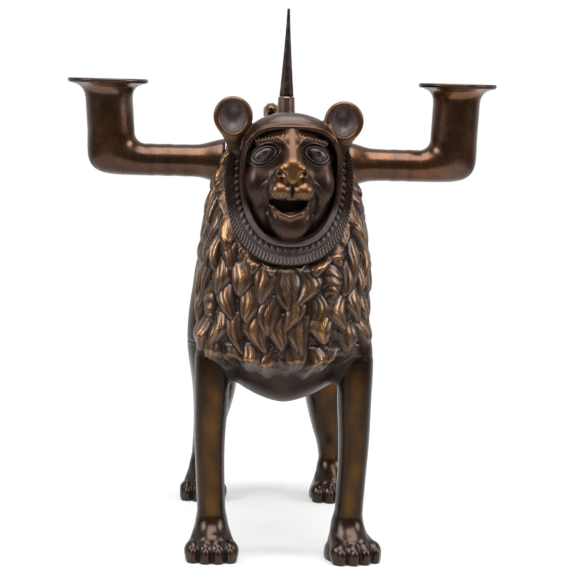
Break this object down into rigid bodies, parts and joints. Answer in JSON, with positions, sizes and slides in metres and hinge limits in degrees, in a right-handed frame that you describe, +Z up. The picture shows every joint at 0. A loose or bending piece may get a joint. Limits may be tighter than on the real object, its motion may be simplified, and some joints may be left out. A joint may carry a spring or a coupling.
{
  "type": "candlestick",
  "caption": "Standing cast bronze lion with a candle socket on a curved arm at each shoulder and an iron pricket spike on its back.",
  "frame": {"origin": "centre of the bounding box, at the level of the soles", "axes": "+Z up, -Y the way the lion faces, +X towards the arm on the right as seen from its front"},
  "size_m": [0.2341, 0.2218, 0.2939],
  "materials": {
    "bronze": "dark brown patina with golden brown rubbed high places",
    "rubbed_bronze": "filed flush and rubbed, golden brown",
    "iron": "forged, blackish brown, dull"
  },
  "bodies": {
    "root": {"body_shell": "bronze", "head": "bronze", "front_leg_left": "bronze", "front_leg_left_pin": "rubbed_bronze", "front_leg_right": "bronze", "front_leg_right_pin": "rubbed_bronze", "rear_leg_left": "bronze", "rear_leg_left_pin": "rubbed_bronze", "rear_leg_right": "bronze", "rear_leg_right_pin": "rubbed_bronze", "arm_left": "bronze", "arm_left_pin": "rubbed_bronze", "arm_right": "bronze", "arm_right_pin": "rubbed_bronze", "neck_pin_left": "rubbed_bronze", "neck_pin_right": "rubbed_bronze", "tail": "bronze", "tail_pin": "rubbed_bronze", "spike_collar": "bronze", "pricket_spike": "iron", "spike_washer": "iron", "spike_nut": "iron", "belly_plug": "bronze"}
  },
  "joints": []
}
